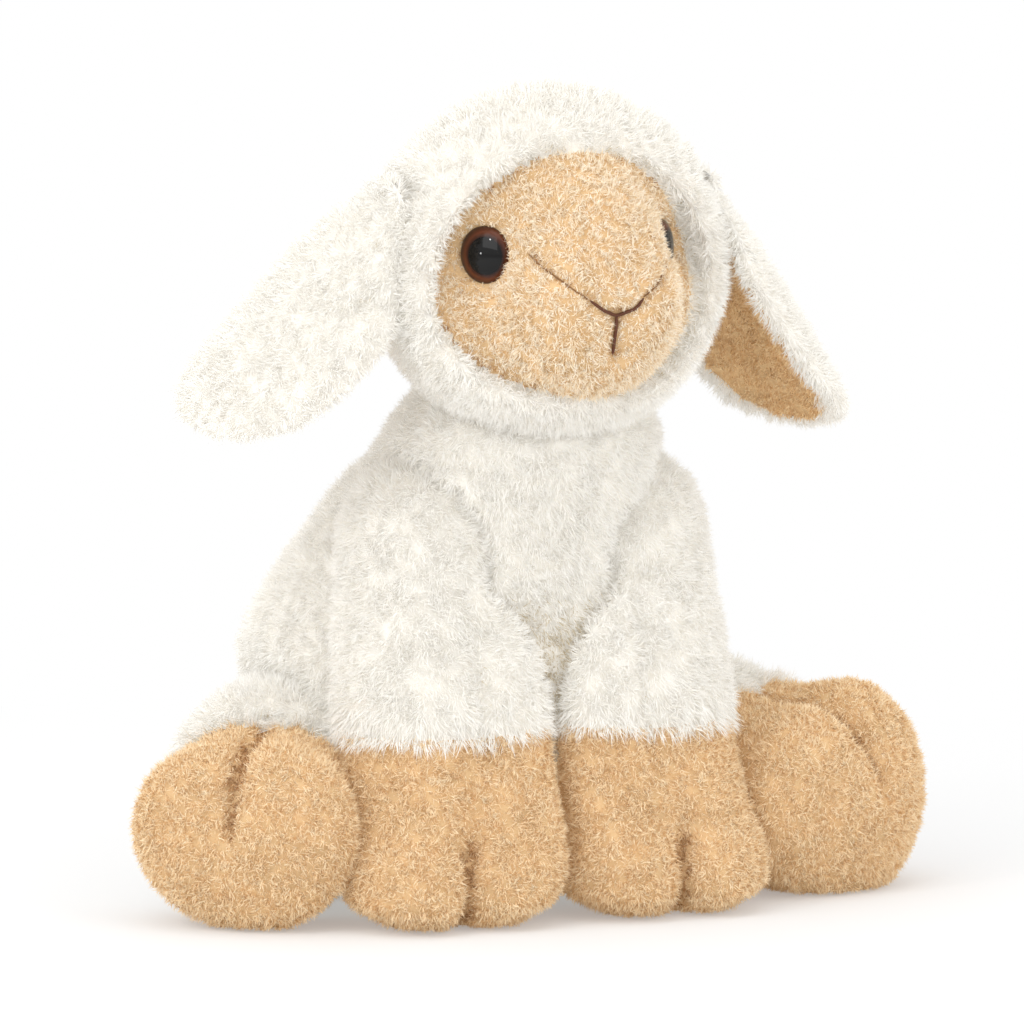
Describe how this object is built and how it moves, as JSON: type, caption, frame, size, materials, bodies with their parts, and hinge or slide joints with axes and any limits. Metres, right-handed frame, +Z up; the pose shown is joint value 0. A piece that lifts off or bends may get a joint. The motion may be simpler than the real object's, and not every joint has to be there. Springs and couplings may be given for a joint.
{
  "type": "plush lamb",
  "caption": "Sitting plush lamb in white pile with a tan face, hooves and ear linings; head, ears, legs and tail flex at their seams.",
  "frame": {"origin": "centre of the flat seat, on the plane that the lamb sits on", "axes": "+Z up, -Y the way the lamb faces, +X its left side"},
  "size_m": [0.2446, 0.1891, 0.248],
  "materials": {
    "white_pile": "white pile fabric",
    "tan_pile": "tan pile fabric",
    "lining_tan": "short tan pile fabric",
    "polyester": "polyester filling",
    "bag_cloth": "cloth bag of plastic pellets",
    "eye_brown": "glossy moulded eye",
    "washer": "plain lock washer"
  },
  "bodies": {
    "torso": {"torso_cover": "white_pile", "torso_filling": "polyester", "seat_pellet_bag": "bag_cloth"},
    "neck": {"neck_filling": "polyester"},
    "head": {"head_cover": "white_pile", "face_panel": "tan_pile", "head_filling": "polyester", "right_eye": "eye_brown", "right_eye_washer": "washer", "left_eye": "eye_brown", "left_eye_washer": "washer"},
    "tail": {"tail": "white_pile"},
    "right_ear": {"right_ear_cover": "white_pile", "right_ear_lining": "lining_tan"},
    "right_foreleg": {"right_foreleg_sleeve": "white_pile", "right_fore_hoof": "tan_pile", "right_foreleg_filling": "polyester", "right_hoof_pellet_bag": "bag_cloth"},
    "right_hind_leg": {"right_thigh_cover": "white_pile", "right_hind_foot": "tan_pile", "right_hind_leg_filling": "polyester", "right_foot_pellet_bag": "bag_cloth"},
    "left_ear": {"left_ear_cover": "white_pile", "left_ear_lining": "lining_tan"},
    "left_foreleg": {"left_foreleg_sleeve": "white_pile", "left_fore_hoof": "tan_pile", "left_foreleg_filling": "polyester", "left_hoof_pellet_bag": "bag_cloth"},
    "left_hind_leg": {"left_thigh_cover": "white_pile", "left_hind_foot": "tan_pile", "left_hind_leg_filling": "polyester", "left_foot_pellet_bag": "bag_cloth"}
  },
  "joints": [
    {"name": "head_turn", "type": "hinge", "parent": "torso", "child": "neck", "pos_m": [0, -0.058, 0.196], "axis": [0, 0, 1], "range_deg": [-25, 25], "stiffness_Nm_per_rad": 0.6},
    {"name": "head_nod", "type": "hinge", "parent": "neck", "child": "head", "pos_m": [0, -0.058, 0.196], "axis": [1, 0, 0], "range_deg": [-12, 15], "stiffness_Nm_per_rad": 1.2},
    {"name": "right_ear_lift", "type": "hinge", "parent": "head", "child": "right_ear", "pos_m": [-0.04758, -0.052, 0.21819], "axis": [0, 1, 0], "range_deg": [0, 45], "stiffness_Nm_per_rad": 0.02},
    {"name": "right_foreleg_swing", "type": "hinge", "parent": "torso", "child": "right_foreleg", "pos_m": [-0.032, -0.038, 0.112], "axis": [-1, 0, 0], "range_deg": [0, 30], "stiffness_Nm_per_rad": 0.3},
    {"name": "right_hind_leg_splay", "type": "hinge", "parent": "torso", "child": "right_hind_leg", "pos_m": [-0.058, 0, 0.0365], "axis": [0, 0, -1], "range_deg": [0, 25], "stiffness_Nm_per_rad": 0.3},
    {"name": "left_ear_lift", "type": "hinge", "parent": "head", "child": "left_ear", "pos_m": [0.04758, -0.052, 0.21819], "axis": [0, -1, 0], "range_deg": [0, 45], "stiffness_Nm_per_rad": 0.02},
    {"name": "left_foreleg_swing", "type": "hinge", "parent": "torso", "child": "left_foreleg", "pos_m": [0.032, -0.038, 0.112], "axis": [-1, 0, 0], "range_deg": [0, 30], "stiffness_Nm_per_rad": 0.3},
    {"name": "left_hind_leg_splay", "type": "hinge", "parent": "torso", "child": "left_hind_leg", "pos_m": [0.058, 0, 0.0365], "axis": [0, 0, 1], "range_deg": [0, 25], "stiffness_Nm_per_rad": 0.3},
    {"name": "tail_lift", "type": "hinge", "parent": "torso", "child": "tail", "pos_m": [0, 0.058, 0.054], "axis": [1, 0, 0], "range_deg": [0, 50], "stiffness_Nm_per_rad": 0.01}
  ]
}
